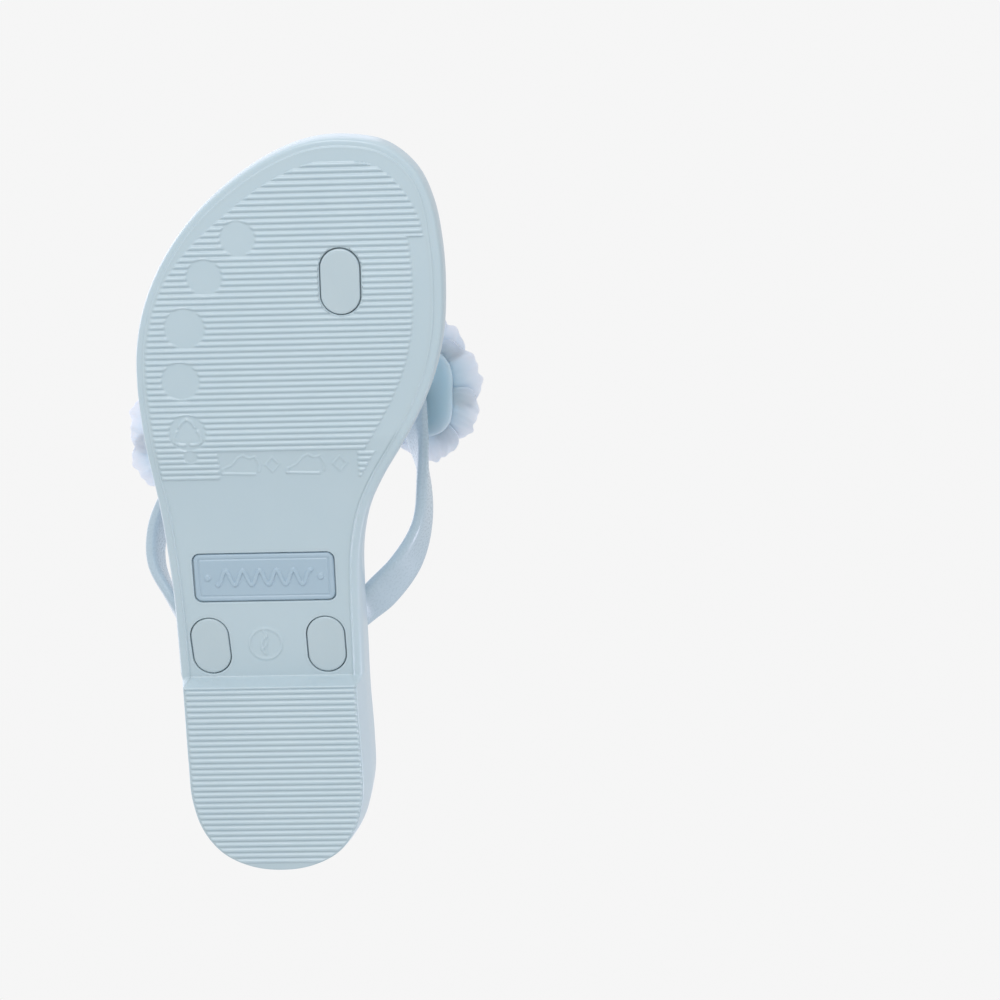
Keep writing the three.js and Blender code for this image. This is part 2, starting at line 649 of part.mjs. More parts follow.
// ---- assembly ------------------------------------------------------------------------------------
const group = new THREE.Group();
group.name = 'flip_flop';

const PALETTE = {
  sole: { color: 0xb9ccd2, roughness: 0.32 },
  footbed: { color: 0xc4d0de, roughness: 0.5 },
  badge: { color: 0xa9becd, roughness: 0.36 },
  strap: { color: 0xb4c4d0, roughness: 0.3 },
  petal: { color: 0xcdd8e8, roughness: 0.38 },
  pin: { color: 0xd6deec, roughness: 0.3 },
};

function put(name, manifold, look) {
  const mesh = new THREE.Mesh(toGeometry(manifold), new THREE.MeshStandardMaterial({
    color: PALETTE[look].color, roughness: PALETTE[look].roughness, metalness: 0,
  }));
  mesh.name = name;
  group.add(mesh);
}

put('outsole', buildSole(), 'sole');
put('footbed', buildFootbed(), 'footbed');
put('badge_plate', buildBadge(), 'badge');
put('strap', buildStrap(), 'strap');
for (const [side, seat] of Object.entries(SEATS)) {
  const m = seatMatrix(seat);
  for (const [ring, shape] of Object.entries(RINGS)) {
    put(`${side}_petals_${ring}`, petalRing(shape, m), 'petal');
  }
  put(`${side}_pin`, buildPin(m), 'pin');
}

// Put the origin at the middle of the underside.
const box = new THREE.Box3().setFromObject(group);
const centre = box.getCenter(new THREE.Vector3());
for (const mesh of group.children) mesh.geometry.translate(-centre.x, -centre.y, -box.min.z);

export default group;
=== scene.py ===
import math
import bpy
import numpy as np
from mathutils import Matrix, Vector


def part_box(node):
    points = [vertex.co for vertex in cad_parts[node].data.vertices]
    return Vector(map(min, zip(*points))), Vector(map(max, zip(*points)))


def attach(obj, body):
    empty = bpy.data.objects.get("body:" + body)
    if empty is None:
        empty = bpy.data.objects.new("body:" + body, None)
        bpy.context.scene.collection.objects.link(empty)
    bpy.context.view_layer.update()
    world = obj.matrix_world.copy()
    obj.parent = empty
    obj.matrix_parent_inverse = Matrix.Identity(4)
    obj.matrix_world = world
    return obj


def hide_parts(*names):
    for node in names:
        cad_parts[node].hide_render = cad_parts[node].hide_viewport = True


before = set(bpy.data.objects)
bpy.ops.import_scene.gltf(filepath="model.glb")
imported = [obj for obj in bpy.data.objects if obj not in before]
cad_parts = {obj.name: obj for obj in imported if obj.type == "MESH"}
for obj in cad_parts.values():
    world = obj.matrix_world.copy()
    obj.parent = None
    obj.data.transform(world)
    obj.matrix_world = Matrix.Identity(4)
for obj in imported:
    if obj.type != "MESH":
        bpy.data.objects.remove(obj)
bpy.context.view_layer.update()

MM = 0.001

# ---- driving dimensions, in millimetres, as the CAD model has them --------------------------
FOREFOOT_HEIGHT, HEEL_HEIGHT, ARCH_RISE = 9.0, 20.0, 4.4
HEEL_FRONT, HEEL_CENTRE_X = -43.4, 8.0
BAR_HEIGHT = 0.45
TREAD_PITCH, TREAD_ROWS, CORNER_ROWS, TREAD_TOP = 1.49, 49, 5, 90.3
HEEL_PITCH = 1.566
CORNER_INNER, CORNER_OUTER = -17.2, 17.5
DISCS = [(9.1, 71.5, 4.3), (17.8, 62.2, 4.4), (23.5, 49.7, 5.0), (25.4, 36.5, 4.7), (24.6, 23.3, 4.6),
         (24.3, 17.0, 1.7)]
PAD_INSET, PAD_THICKNESS, GAP = 3.0, 1.6, 0.3
PLUG_WIDTH, PLUG_THICKNESS = 9.5, 2.8
BAND_WIDTH, BAND_THICKNESS, POST_RADIUS = 11.5, 3.3, 3.1
BADGE_LENGTH, BADGE_WIDTH, BADGE_THICKNESS, BADGE_CORNER = 35.6, 12.6, 1.2, 1.8
STEM_RADIUS, SEAT_RADIUS, SEAT_RISE = 1.5, 5.6, 0.6
PLUG_Y = -33.9
RISE_FRONT, RISE_BACK = 26.6, -57
ARCH_START, ARCH_SOFTNESS, ARCH_LENGTH = 22, 4, 14

# ---- dimensions of the fine surfaces only, in millimetres -----------------------------------
RIM_DENSITY, RIM_REFINE, HEEL_STEP_ZONE = 12, 8, 2.2
EDGE_INSET = {"ball": 3.1, "toe": 2.5, "outer": 2.25, "arch": 3.0, "heel": 1.75}
BAR_INSET = {"toe": 4.1, "middle": 7.8, "corner": 5.2, "outer": 2.85}
BAR_INSET_AT_TIP, OUTER_BAR_INSET_AT_TIP = 5.6, 5.3
ROWS_PER_BAR, PLAIN_ROW, HEEL_EDGE_ROW = 8, 0.3, 0.14
TREAD_COLUMNS, PAD_COLUMNS = 236, 130
SEAT_MARGIN = 0.5
BAND_STEPS, POST_STEPS, BAND_POINTS = 200, 50, 40
BAND_SIDE_POWER, BAND_FACE_POWER = 0.5, 0.62
AXIS_RADIUS = 0.02

OUTLINE = [
    (-17.5, 95), (-8, 94.2), (2.6, 90), (12.8, 83.2), (21.4, 75.2), (28.4, 65.7), (33.3, 55.5),
    (35.9, 45.5), (36.6, 35.5), (36.1, 25), (35.2, 15), (34, 4), (33, -8), (32.3, -20), (32, -35), (32, -50),
    (32, -65), (31.7, -75), (29.2, -84.2), (24, -91.2), (16.5, -95.2),
    (8, -96.4), (-0.4, -95.2), (-8, -91.2), (-13.2, -84.2), (-15.7, -75), (-16, -65), (-15.6, -50),
    (-15.8, -35), (-16, -20), (-16.8, -8), (-19.2, 2), (-23, 10), (-28.3, 18.7), (-33, 27),
    (-36.9, 36), (-39.4, 46), (-40.3, 58), (-39.9, 69), (-38.2, 79), (-34.6, 87), (-27.5, 93),
]
HEEL_TIP = OUTLINE.index((8, -96.4))


# ---- small maths ----------------------------------------------------------------------------
def smooth(a, b, v):
    t = np.clip((v - a) / (b - a), 0, 1)
    return t * t * (3 - 2 * t)


def mix(a, b, t):
    return a + (b - a) * t


def spline(points, params, closed=False):
    """Centripetal Catmull-Rom through points, at params that count whole segments."""
    p = np.array(points, float)
    n = len(p)
    if closed:
        p = np.vstack([p[-1], p, p[0], p[1]])
    else:
        p = np.vstack([2 * p[0] - p[1], p, 2 * p[-1] - p[-2]])
    t = np.asarray(params, float)
    k = np.clip(np.floor(t).astype(int), 0, (n if closed else n - 1) - 1)
    f = (t - k)[:, None]
    p0, p1, p2, p3 = p[k], p[k + 1], p[k + 2], p[k + 3]

    def gap(a, b):
        return np.maximum(np.sqrt(np.linalg.norm(b - a, axis=1)), 1e-4)[:, None]

    d0, d1, d2 = gap(p0, p1), gap(p1, p2), gap(p2, p3)
    m1 = ((p1 - p0) / d0 - (p2 - p0) / (d0 + d1) + (p2 - p1) / d1) * d1
    m2 = ((p2 - p1) / d1 - (p3 - p1) / (d1 + d2) + (p3 - p2) / d2) * d1
    f2, f3 = f * f, f * f * f
    return (2 * f3 - 3 * f2 + 1) * p1 + (f3 - 2 * f2 + f) * m1 + (3 * f2 - 2 * f3) * p2 + (f3 - f2) * m2


# ---- the rim, and the heights ---------------------------------------------------------------
def rim_params():
    """Places along the outline, closer together at the step in front of the heel."""
    n = len(OUTLINE)
    coarse = np.linspace(0, n, n * RIM_DENSITY, endpoint=False)
    y = spline(OUTLINE, coarse, True)[:, 1]
    near = [t for t, v in zip(coarse, y) if abs(v - HEEL_FRONT - 0.5) < HEEL_STEP_ZONE]
    fine = [t + k / (RIM_DENSITY * RIM_REFINE) for t in near for k in range(1, RIM_REFINE)]
    return np.array(sorted(set(coarse) | set(fine)))


RIM_T = rim_params()
RIM = spline(OUTLINE, RIM_T, True)
tangent = spline(OUTLINE, (RIM_T + 1e-3) % len(OUTLINE), True) - RIM
tangent /= np.linalg.norm(tangent, axis=1)[:, None]
RIM_N = np.stack([-tangent[:, 1], tangent[:, 0]], axis=1)
RIM_HALF = int(np.argmin(np.abs(RIM_T - HEEL_TIP)))

# The CAD model is centred on its bounding box, so the outline moves to where the outsole is.
cad_low, cad_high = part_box("outsole")
SHIFT = np.array([
    ((cad_low[0] + cad_high[0]) / MM - RIM[:, 0].min() - RIM[:, 0].max()) / 2,
    ((cad_low[1] + cad_high[1]) / MM - RIM[:, 1].min() - RIM[:, 1].max()) / 2,
    0.0,
])


def top_height(y):
    return mix(FOREFOOT_HEIGHT, HEEL_HEIGHT, smooth(RISE_FRONT, RISE_BACK, y))


def arch_height(y):
    t = np.maximum(0, ARCH_START - y)
    return ARCH_RISE * (1 - np.exp(-t * t / (t + ARCH_SOFTNESS) / ARCH_LENGTH))


def floor_height(y):
    """Height of the plain underside between the ribs, in front of the heel."""
    return BAR_HEIGHT + arch_height(y) * (ARCH_RISE - BAR_HEIGHT) / ARCH_RISE


def in_heel(y):
    return 1 - smooth(HEEL_FRONT - 0.5, HEEL_FRONT + 1.3, y)


def base_height(y):
    """Height of the plain underside, the heel included."""
    return mix(floor_height(y), BAR_HEIGHT, in_heel(y))


def in_arch(y):
    return 1 - smooth(2, 19, y)


def edge_inset(x, y):
    """How far inside the rim the sole's bottom edge runs."""
    outer = smooth(-8, 6, x) * smooth(90, 78, y)
    fore = mix(EDGE_INSET["ball"], EDGE_INSET["toe"], smooth(70, 84, y))
    fore = mix(fore, EDGE_INSET["outer"], outer)
    return mix(mix(fore, EDGE_INSET["arch"], in_arch(y)), EDGE_INSET["heel"], in_heel(y))


def loop(inset):
    """The outline moved inward, by one inset for each of its points."""
    return RIM - RIM_N * np.asarray(inset)[:, None]


def span(points):
    """Returns a function of y that gives the lowest and highest x of a closed line."""
    a, b = points, np.roll(points, -1, axis=0)

    def at(y):
        hit = (a[:, 1] - y) * (b[:, 1] - y) < 0
        t = (y - a[hit, 1]) / (b[hit, 1] - a[hit, 1])
        x = mix(a[hit, 0], b[hit, 0], t)
        return (x.min(), x.max()) if len(x) > 1 else None

    return at


def crossed(at, rows):
    """The rows that cross the closed line of at, and the two ends of each."""
    spans = [at(y) for y in rows]
    return np.array([y for y, s in zip(rows, spans) if s]), np.array([s for s in spans if s])


# ---- mesh helpers ---------------------------------------------------------------------------
def quads(rows, cols, wrap=False, flip=False):
    """Faces of a grid of points, stored row by row; wrap joins the last column to the first."""
    i, j = np.meshgrid(np.arange(rows - 1), np.arange(cols if wrap else cols - 1), indexing="ij")
    k = (j + 1) % cols
    f = np.stack([i * cols + j, i * cols + k, (i + 1) * cols + k, (i + 1) * cols + j], axis=-1)
    f = f.reshape(-1, 4)
    return f[:, ::-1] if flip else f


def piece(name, verts, faces, mat, body="sandal", nodes=(), slot=None, angle=48):
    """A visible piece from points in millimetres; edges sharper than angle stay sharp."""
    mesh = bpy.data.meshes.new(name)
    points = (np.asarray(verts, float) + SHIFT) * MM
    mesh.from_pydata(points.tolist(), [], [list(map(int, f)) for f in faces])
    mesh.validate()
    mesh.update()
    mesh.polygons.foreach_set("use_smooth", np.ones(len(mesh.polygons), bool))
    mesh.set_sharp_from_angle(angle=math.radians(angle))
    mesh.materials.append(mat)
    obj = bpy.data.objects.new(name, mesh)
    bpy.context.scene.collection.objects.link(obj)
    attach(obj, body)
    if nodes:
        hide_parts(*nodes)
    return obj


# ---- materials ------------------------------------------------------------------------------
FLOW_SCALE = 38
GLOSS_RANGE = (-0.05, 0.07)
PETAL_GLOW, PETAL_DEPTH, SOLID_DEPTH = 0.5, 0.004, 0.0012


def plastic(name, color, dark, roughness=0.3, grain=900, grain_depth=0.02, coat=0.25, glow=0.12, painted_shade=None):
    """Moulded soft plastic: slight flow marks in the colour, fine grain, and a soft gloss.

    The last argument is (centre, near, far, colour): painted shade, a deeper colour around a point that
    stands in for the shade there.
    """
    m = bpy.data.materials.new(name)
    m.use_nodes = True
    nodes, links = m.node_tree.nodes, m.node_tree.links
    shader = nodes["Principled BSDF"]
    shader.inputs["Coat Weight"].default_value = coat
    shader.inputs["Coat Roughness"].default_value = 0.22
    shader.inputs["Sheen Weight"].default_value = 0.08
    shader.inputs["Sheen Tint"].default_value = (0.78, 0.8, 1.0, 1)
    shader.inputs["Subsurface Weight"].default_value = glow
    shader.inputs["Subsurface Radius"].default_value = (0.8, 1.0, 1.2)
    shader.inputs["Subsurface Scale"].default_value = SOLID_DEPTH if glow < PETAL_GLOW else PETAL_DEPTH
    where = nodes.new("ShaderNodeTexCoord")
    flow = nodes.new("ShaderNodeTexNoise")
    flow.inputs["Scale"].default_value = FLOW_SCALE
    flow.inputs["Detail"].default_value = 5
    flow.inputs["Distortion"].default_value = 0.6
    links.new(where.outputs["Object"], flow.inputs["Vector"])
    ramp = nodes.new("ShaderNodeValToRGB")
    ramp.color_ramp.elements[0].position = 0.3
    ramp.color_ramp.elements[0].color = (*dark, 1)
    ramp.color_ramp.elements[1].position = 0.7
    ramp.color_ramp.elements[1].color = (*color, 1)
    links.new(flow.outputs["Fac"], ramp.inputs["Fac"])
    # Painted shade: the colour turns to the shade colour near the given centre, where shade falls.
    if painted_shade:
        centre, near, far, shade_color = painted_shade
        away = nodes.new("ShaderNodeVectorMath")
        away.operation = "DISTANCE"
        away.inputs[1].default_value = centre
        links.new(where.outputs["Object"], away.inputs[0])
        fade = nodes.new("ShaderNodeMapRange")
        fade.inputs["From Min"].default_value = near * MM
        fade.inputs["From Max"].default_value = far * MM
        links.new(away.outputs["Value"], fade.inputs["Value"])
        blend = nodes.new("ShaderNodeMix")
        blend.data_type = "RGBA"
        blend.inputs["A"].default_value = (*shade_color, 1)
        links.new(fade.outputs["Result"], blend.inputs["Factor"])
        links.new(ramp.outputs["Color"], blend.inputs["B"])
        links.new(blend.outputs["Result"], shader.inputs["Base Color"])
    else:
        links.new(ramp.outputs["Color"], shader.inputs["Base Color"])
    fine = nodes.new("ShaderNodeTexNoise")
    fine.inputs["Scale"].default_value = grain
    fine.inputs["Detail"].default_value = 3
    links.new(where.outputs["Object"], fine.inputs["Vector"])
    gloss = nodes.new("ShaderNodeMapRange")
    gloss.inputs["To Min"].default_value = roughness + GLOSS_RANGE[0]
    gloss.inputs["To Max"].default_value = roughness + GLOSS_RANGE[1]
    links.new(fine.outputs["Fac"], gloss.inputs["Value"])
    links.new(gloss.outputs["Result"], shader.inputs["Roughness"])
    bump = nodes.new("ShaderNodeBump")
    bump.inputs["Strength"].default_value = 0.25
    bump.inputs["Distance"].default_value = grain_depth * MM
    links.new(fine.outputs["Fac"], bump.inputs["Height"])
    links.new(bump.outputs["Normal"], shader.inputs["Normal"])
    return m


SOLE = plastic("sole_plastic", (0.52, 0.622, 0.667), (0.50, 0.605, 0.652))
PAD = plastic("footbed_foam", (0.60, 0.68, 0.77), (0.57, 0.655, 0.75), 0.5, 1400, 0.05, 0.05)
BADGE = plastic("badge_plastic", (0.415, 0.53, 0.615), (0.395, 0.51, 0.595), 0.34)
STRAP = plastic("strap_plastic", (0.485, 0.585, 0.65), (0.465, 0.57, 0.635), 0.27, 1500, 0.002, 0.3, 0.0)
PLUG = plastic("plug_plastic", (0.515, 0.605, 0.64), (0.495, 0.588, 0.625))
PETAL = plastic("petal_plastic", (0.76, 0.80, 0.91), (0.70, 0.77, 0.89), 0.3, 700, 0.03, 0.3, 0.6)
PIN = plastic("pin_plastic", (0.76, 0.80, 0.90), (0.72, 0.77, 0.88), 0.27)
for node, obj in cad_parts.items():
    obj.data.materials.clear()
    kind = PETAL if "petals" in node else PIN if node.endswith("_pin") else \
        {"outsole": SOLE, "footbed": PAD, "badge_plate": BADGE, "strap": STRAP}[node]
    obj.data.materials.append(kind)


# ---- strap ends in the sole -----------------------------------------------------------------
PLUGS = {
    # side: x, y, turn in degrees, length
    "toe": (-15.2, 60.4, -1.0, 16.0),
    "medial": (HEEL_CENTRE_X - 14.4, PLUG_Y, 1.5, 14.7),
    "lateral": (HEEL_CENTRE_X + 15.2, PLUG_Y, 3.5, 14.7),
}
BADGE_Y = -15.6
BADGE_X = HEEL_CENTRE_X + 0.4


def plug_frame(x, y, plug):
    """Coordinates across and along a plug."""
    px, py, turn = plug[:3]
    c, s = math.cos(math.radians(turn)), math.sin(math.radians(turn))
    return (x - px) * c - (y - py) * s, (x - px) * s + (y - py) * c


def stadium_distance(u, v, width, length):
    r = width / 2
    return np.hypot(u, np.maximum(0, np.abs(v) - (length / 2 - r))) - r


def box_distance(u, v, width, height, radius):
    du = np.abs(u) - width / 2 + radius
    dv = np.abs(v) - height / 2 + radius
    return np.hypot(np.maximum(du, 0), np.maximum(dv, 0)) + np.minimum(np.maximum(du, dv), 0) - radius


# ---- raised marks ---------------------------------------------------------------------------
def line_distance(x, y, points):
    d = np.full(x.shape, 1e9)
    for (ax, ay), (bx, by) in zip(points, points[1:]):
        t = np.clip(((x - ax) * (bx - ax) + (y - ay) * (by - ay)) / ((bx - ax) ** 2 + (by - ay) ** 2), 0, 1)
        d = np.minimum(d, np.hypot(x - ax - t * (bx - ax), y - ay - t * (by - ay)))
    return d


def arc(cx, cy, r, a0, a1, n):
    angles = [math.radians(mix(a0, a1, i / n)) for i in range(n + 1)]
    return [(cx + r * math.cos(a), cy + r * math.sin(a)) for a in angles]


def marks():
    """Plain raised marks of the sole: (points, half width, height)."""
    rows = []
    # Three bent bars on the fifth disc.
    cx, cy = DISCS[4][:2]
    radius, flattening, reach = 3.9, 0.34, 52
    for k in range(3):
        a = 90 + 120 * k
        rows.append(([(cx + radius * math.cos(math.radians(a + t)) * (1 - flattening * abs(t) / reach),
                       cy - 0.3 + radius * math.sin(math.radians(a + t)) * (1 - flattening * abs(t) / reach))
                      for t in (-46, -36, -18, 0, 18, 36, 46)], 0.3, 0.34))
    # Two plain shoe outlines, each with a sole line, and a diamond beside each.
    for sx in (11.2, -5.0):
        rows.append(([(sx + 5.6, 12.5), (sx + 5.4, 13.6), (sx + 3.2, 14.6), (sx + 1.4, 16.6),
                      (sx + 0.2, 17.2), (sx - 1.4, 16.4), (sx - 2.8, 16.8), (sx - 3.8, 14.6),
                      (sx - 3.6, 12.8)], 0.22, 0.24))
        rows.append(([(sx + 5.6, 12.4), (sx - 2.4, 12.1)], 0.26, 0.28))
    for sx in (4.2, -12.6):
        rows.append(([(sx, 16.6), (sx - 1.7, 14.6), (sx, 12.6), (sx + 1.7, 14.6), (sx, 16.6)], 0.2, 0.22))
    # A leaf in a ring, between the plugs of the heel.
    cx, cy = 9.1, -33.5
    rows.append((arc(cx, cy, 4.1, 0, 360, 48), 0.25, 0.28))
    rows.append((arc(cx - 2.0, cy - 0.6, 3.1, -42, 58, 12), 0.22, 0.24))
    rows.append((arc(cx + 2.6, cy + 1.2, 3.1, 138, 238, 12), 0.22, 0.24))
    rows.append(([(cx - 0.2, cy - 2.8), (cx + 0.3, cy + 2.2)], 0.2, 0.22))
    return rows


# ---- underside ------------------------------------------------------------------------------
def underside():
    edge = edge_inset(RIM[:, 0], RIM[:, 1])
    line = loop(edge + 0.15)
    at = span(line)
    low, high = line[:, 1].min(), line[:, 1].max()
    rib_top = TREAD_TOP + 0.5 * TREAD_PITCH
    ends = [0.004 * 1.75 ** k for k in range(10)]
    rows = [high - e for e in ends]
    rows = [y for y in rows if y > rib_top + 0.05]
    fine = TREAD_PITCH / ROWS_PER_BAR
    rows += list(np.arange(rib_top, 9.8, -fine))
    rows += list(np.arange(rows[-1] - PLAIN_ROW, HEEL_FRONT + 2.0, -PLAIN_ROW))
    rows += list(np.arange(HEEL_FRONT + 1.9, HEEL_FRONT - 0.6, -HEEL_EDGE_ROW))
    rows += list(np.arange(HEEL_FRONT - 0.75, low + 0.35, -HEEL_PITCH / ROWS_PER_BAR))
    rows += [low + e for e in ends[8::-1] if low + e < rows[-1] - 0.02]
    rows, spans = crossed(at, rows)
    cols = TREAD_COLUMNS
    u = np.linspace(0, 1, cols)
    x = spans[:, :1] + (spans[:, 1:] - spans[:, :1]) * u
    y = np.repeat(rows[:, None], cols, axis=1)
    base = base_height(y)

    # Cross bars of the forefoot and of the heel.
    toe = smooth(74, 88, RIM[:, 1])
    lines = {part: span(loop(mix(BAR_INSET[part], BAR_INSET_AT_TIP, toe)))
             for part in ("toe", "middle", "corner")}
    outer_line = span(loop(mix(BAR_INSET["outer"], OUTER_BAR_INSET_AT_TIP, smooth(60, 84, RIM[:, 1]))))
    corner_top = TREAD_TOP - (TREAD_ROWS - 0.5) * TREAD_PITCH

    def bars_from(v):
        part = "toe" if v > 71 else "middle" if v > corner_top else "corner"
        found = lines[part](v)
        return found[0] if found else 0.0

    left = np.array([bars_from(v) for v in rows])[:, None]
    right = np.array([(outer_line(v) or (0.0, 0.0))[1] for v in rows])[:, None]
    within = smooth(-0.35, 0.25, x - left) * smooth(-0.35, 0.25, right - x)
    phase = (TREAD_TOP - y) / TREAD_PITCH
    ridge = smooth(0.1, 0.82, 0.5 + 0.5 * np.cos(2 * math.pi * phase))
    corner = np.maximum(smooth(-0.3, 0.3, CORNER_INNER - x), smooth(-0.3, 0.3, x - CORNER_OUTER))
    full = phase < TREAD_ROWS - 0.5
    last = phase < TREAD_ROWS + CORNER_ROWS - 0.5
    mask = within * np.where(full, 1, corner) * last * (phase > -0.5)
    for cx, cy, r in DISCS:
        mask = mask * smooth(-0.3, 0.3, np.hypot(x - cx, y - cy) - r)
    edge_x = smooth(-0.3, 0.2, x - spans[:, :1] - 0.25) * smooth(-0.3, 0.2, spans[:, 1:] - 0.25 - x)
    heel_phase = (HEEL_FRONT - 1 - HEEL_PITCH / 2 - y) / HEEL_PITCH
    heel_ridge = smooth(0.12, 0.8, 0.5 + 0.5 * np.cos(2 * math.pi * heel_phase))
    heel_mask = (heel_phase > -0.5) * edge_x * smooth(low + 1.2, low + 2.2, y)
    height = base - BAR_HEIGHT * (ridge * mask + heel_ridge * heel_mask)
    # Step line along the front of the heel.
    nose = smooth(HEEL_FRONT - 1.1, HEEL_FRONT - 0.6, y) * smooth(HEEL_FRONT + 0.1, HEEL_FRONT - 0.4, y)
    height = height - BAR_HEIGHT * nose * (y < HEEL_FRONT + 0.2)

    for points, half, rise in marks():
        xs, ys = zip(*points)
        near = (x > min(xs) - 1) & (x < max(xs) + 1) & (y > min(ys) - 1) & (y < max(ys) + 1)
        d = line_distance(x[near], y[near], points)
        height[near] -= rise * smooth(half + 0.2, half - 0.15, d)

    # Seats of the strap's plugs and of the badge.
    for plug in PLUGS.values():
        d = stadium_distance(*plug_frame(x, y, plug), PLUG_WIDTH, plug[3])
        height = np.where(d < SEAT_MARGIN, base + PLUG_THICKNESS - 0.6, height)
    d = box_distance(x - BADGE_X, y - BADGE_Y, BADGE_LENGTH, BADGE_WIDTH, BADGE_CORNER)
    height = np.where(d < SEAT_MARGIN, base + BADGE_THICKNESS, height)

    # The grid gets a flat back, so that the piece is a closed body.
    verts = np.stack([x, y, height], axis=-1).reshape(-1, 3)
    n = len(rows)
    faces = quads(n, cols).tolist()
    back = base_height(rows) + PLUG_THICKNESS
    rim_back = np.concatenate([np.stack([x[:, 0], rows, back], 1), np.stack([x[:, -1], rows, back], 1)])
    k = n * cols
    for i in range(n - 1):
        a, b = k + i, k + n + i
        faces.append([a, a + 1, b + 1, b])
        faces.append([i * cols, (i + 1) * cols, a + 1, a])
        faces.append([i * cols + cols - 1, b, b + 1, (i + 1) * cols + cols - 1])
    faces.append([*range(cols - 1, -1, -1), k, k + n])
    faces.append([*range((n - 1) * cols, n * cols), k + 2 * n - 1, k + n - 1])
    piece("sole_tread", np.vstack([verts, rim_back]), faces, SOLE, nodes=["outsole"], slot="sole", angle=60)


# ---- side walls -----------------------------------------------------------------------------
def sole_shell():
    y = RIM[:, 1]
    e = edge_inset(RIM[:, 0], y)
    floor, heel, top = floor_height(y), in_heel(y), top_height(y)
    arch = in_arch(y)
    # (share of the bottom edge's inset, rise above the floor in front, in the arch, at the heel)
    section = [
        (1.16, 0.015, 0.015, 0.015), (1.05, 0.0, 0.0, 0.015), (0.99, 0.0, -0.16, 0.02),
        (0.94, 0.0, -0.36, 0.08), (0.88, 0.03, -0.42, 0.25), (0.79, 0.28, -0.05, 0.9),
        (0.62, 0.33, 0.1, 2.4), (0.42, 0.36, 0.24, 4.2), (0.22, 0.6, 0.65, 6.2), (0.07, 1.7, 1.9, 8.2),
        (0.0, 3.7, 3.9, 10.6),
    ]
    controls = []
    for share, fore, middle, rear in section:
        z = mix(mix(floor + fore, floor + middle, arch), BAR_HEIGHT + rear, heel)
        controls.append((e * share, np.minimum(z, top - 2.2 + 0.02 * len(controls))))
    # (inset, drop below the sole's top) round the upper edge
    upper = [(0, 1.5), (0.1, 0.85), (0.4, 0.35), (0.85, 0.08), (1.4, 0), (2.2, 0), (2.8, 0.02), (3.0, 0.2)]
    for inset, drop in upper:
        controls.append((np.full(len(y), float(inset)), top - drop))
    rings = [np.column_stack([loop(i), z]) for i, z in controls]
    # Two smooth rings (uniform Catmull-Rom) go between each pair.
    stack = np.array(rings)
    steps = np.arange(0, len(rings) - 1 + 1e-9, 1 / 3)
    flat = stack.reshape(len(rings), -1)
    k = np.clip(np.floor(steps).astype(int), 0, len(rings) - 2)
    f = (steps - k)[:, None]
    pad = np.vstack([flat[0], flat, flat[-1]])
    p0, p1, p2, p3 = pad[k], pad[k + 1], pad[k + 2], pad[k + 3]
    smooth_rings = 0.5 * (2 * p1 + (p2 - p0) * f + (2 * p0 - 5 * p1 + 4 * p2 - p3) * f ** 2
                          + (3 * p1 - p0 - 3 * p2 + p3) * f ** 3)
    rings = list(smooth_rings.reshape(len(steps), len(y), 3))
    inner = np.column_stack([loop(e * 1.16), base_height(y) + 1.6])
    seat = np.column_stack([loop(np.full(len(y), 3.05)), top - PAD_THICKNESS])
    rings = [inner] + rings + [seat]
    n = len(y)
    verts = np.vstack(rings)
    faces = quads(len(rings), n, wrap=True, flip=True).tolist()
    # Lids, as strips between the two halves of the outline.
    for first, up in ((0, False), ((len(rings) - 1) * n, True)):
        a, b = list(range(0, RIM_HALF + 1)), [(-i) % n for i in range(0, n - RIM_HALF + 1)]
        b = [b[round(i * (len(b) - 1) / (len(a) - 1))] for i in range(len(a))]
        for i in range(len(a) - 1):
            f = [first + v for v in (a[i], a[i + 1], b[i + 1], b[i])]
            f = [v for j, v in enumerate(f) if v != f[j - 1]]
            if len(f) > 2:
                faces.append(f if up else f[::-1])
    piece("sole_wall", verts, faces, SOLE, nodes=["outsole"], slot="sole", angle=60)


# ---- plugs, badge and their collars ----------------------------------------------------------
def oblong(width, length, grow, n=96):
    """Closed rounded oblong, long side along Y, grown outward."""
    r = width / 2 + grow
    reach = length / 2 - width / 2
    a = np.linspace(0, 2 * math.pi, n, endpoint=False)
    return np.column_stack([r * np.cos(a), r * np.sin(a) + reach * np.where(np.sin(a) >= 0, 1, -1)])


def rounded_box(width, height, radius, grow, n=24):
    pts = []
    for k, (sx, sy) in enumerate(((1, 1), (-1, 1), (-1, -1), (1, -1))):
        a = np.linspace(k * math.pi / 2, (k + 1) * math.pi / 2, n)
        pts.append(np.column_stack([sx * (width / 2 - radius) + (radius + grow) * np.cos(a),
                                    sy * (height / 2 - radius) + (radius + grow) * np.sin(a)]))
    return np.vstack(pts)


def placed(outline, x, y, turn):
    c, s = math.cos(math.radians(-turn)), math.sin(math.radians(-turn))
    u, v = outline.T
    return np.column_stack([x + u * c - v * s, y + u * s + v * c])


def ring_body(rings, closed):
    """Rings of equal length: a tube section when closed, else capped at both ends."""
    n = len(rings[0])
    verts = np.vstack(rings)
    faces = quads(len(rings) + (1 if closed else 0), n, wrap=True) % len(verts)
    faces = faces.tolist()
    if not closed:
        faces.append(list(range(n - 1, -1, -1)))
        faces.append(list(range(len(verts) - n, len(verts))))
    return verts, faces


def on_floor(flat, rise):
    return np.column_stack([flat, base_height(flat[:, 1]) + rise])


def collar(name, outline, x, y, turn):
    """The sole's raised border round a seat, with the gap's wall inside it."""
    rings = [on_floor(placed(outline(g), x, y, turn), z) for g, z in (
        (0.95, 0.5), (0.95, -0.012), (0.5, -0.012), (0.38, 0.0), (0.31, 0.08), (0.3, 1.2))]
    piece(name, *ring_body(rings, True), SOLE, slot="sole", angle=50)


